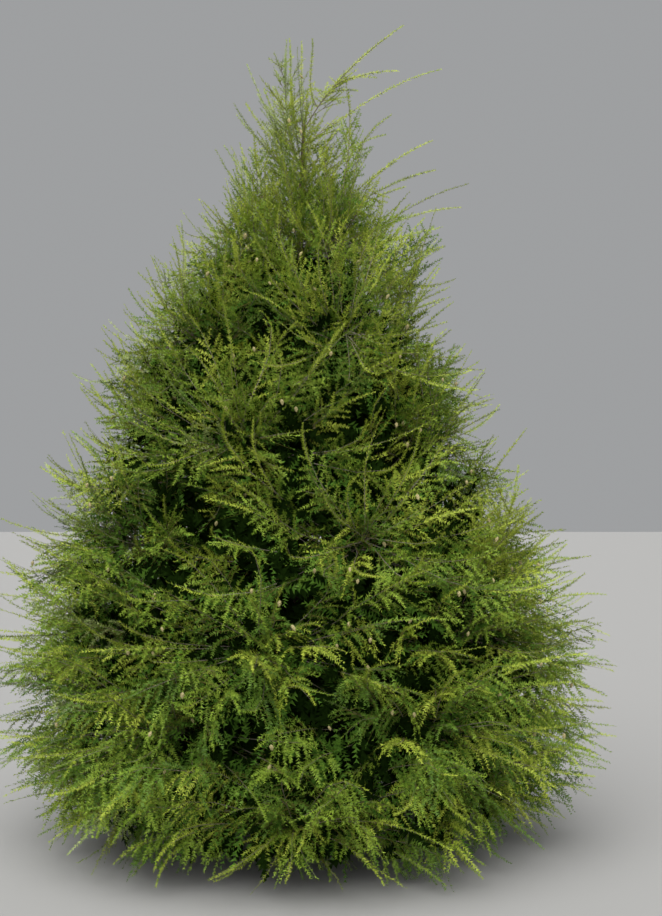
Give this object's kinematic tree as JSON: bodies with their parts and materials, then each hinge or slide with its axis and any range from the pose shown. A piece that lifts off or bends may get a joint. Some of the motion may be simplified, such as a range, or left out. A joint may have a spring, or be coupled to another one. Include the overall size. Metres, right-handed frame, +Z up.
{
  "type": "hemlock tree",
  "caption": "Young conifer with a flared trunk cut flat at the ground, tapering boughs in tiers and feathery sprays of short flat needles down to the ground, under a nodding leader.",
  "frame": {"origin": "middle of the flat cut under the trunk, at ground level", "axes": "+Z up along the trunk, -Y towards the tree's front, +X to the viewer's right, where the leader nods"},
  "size_m": [2.9727, 2.9425, 3.8303],
  "materials": {
    "bark": "matt grey-brown bark with shallow scaly ridges",
    "needles": "satin dark to mid green needles with pale undersides",
    "fresh_needles": "satin yellow-green needles of the outer shoots"
  },
  "bodies": {
    "root": {"trunk": "bark", "bough_skirt_1": "bark", "foliage_skirt_1": "needles", "bough_skirt_2": "bark", "foliage_skirt_2": "needles", "bough_skirt_3": "bark", "foliage_skirt_3": "needles", "bough_skirt_4": "bark", "foliage_skirt_4": "needles", "bough_skirt_5": "bark", "foliage_skirt_5": "needles", "bough_low_1": "bark", "foliage_low_1": "needles", "bough_low_2": "bark", "foliage_low_2": "needles", "bough_low_3": "bark", "foliage_low_3": "needles", "bough_low_4": "bark", "foliage_low_4": "needles", "bough_low_5": "bark", "foliage_low_5": "needles", "bough_waist_1": "bark", "foliage_waist_1": "needles", "bough_waist_2": "bark", "foliage_waist_2": "needles", "bough_waist_3": "bark", "foliage_waist_3": "needles", "bough_waist_4": "bark", "foliage_waist_4": "needles", "bough_waist_5": "bark", "foliage_waist_5": "needles", "bough_middle_1": "bark", "foliage_middle_1": "needles", "bough_middle_2": "bark", "foliage_middle_2": "needles", "bough_middle_3": "bark", "foliage_middle_3": "needles", "bough_middle_4": "bark", "foliage_middle_4": "needles", "bough_high_1": "bark", "foliage_high_1": "needles", "bough_high_2": "bark", "foliage_high_2": "needles", "bough_high_3": "bark", "foliage_high_3": "needles", "bough_high_4": "bark", "foliage_high_4": "needles", "bough_shoulder_1": "bark", "foliage_shoulder_1": "needles", "bough_shoulder_2": "bark", "foliage_shoulder_2": "needles", "bough_shoulder_3": "bark", "foliage_shoulder_3": "needles", "bough_shoulder_4": "bark", "foliage_shoulder_4": "needles", "foliage_neck_1": "needles", "foliage_neck_2": "needles", "foliage_neck_3": "needles", "leader_nodding": "fresh_needles", "leader_upright": "fresh_needles"}
  },
  "joints": []
}
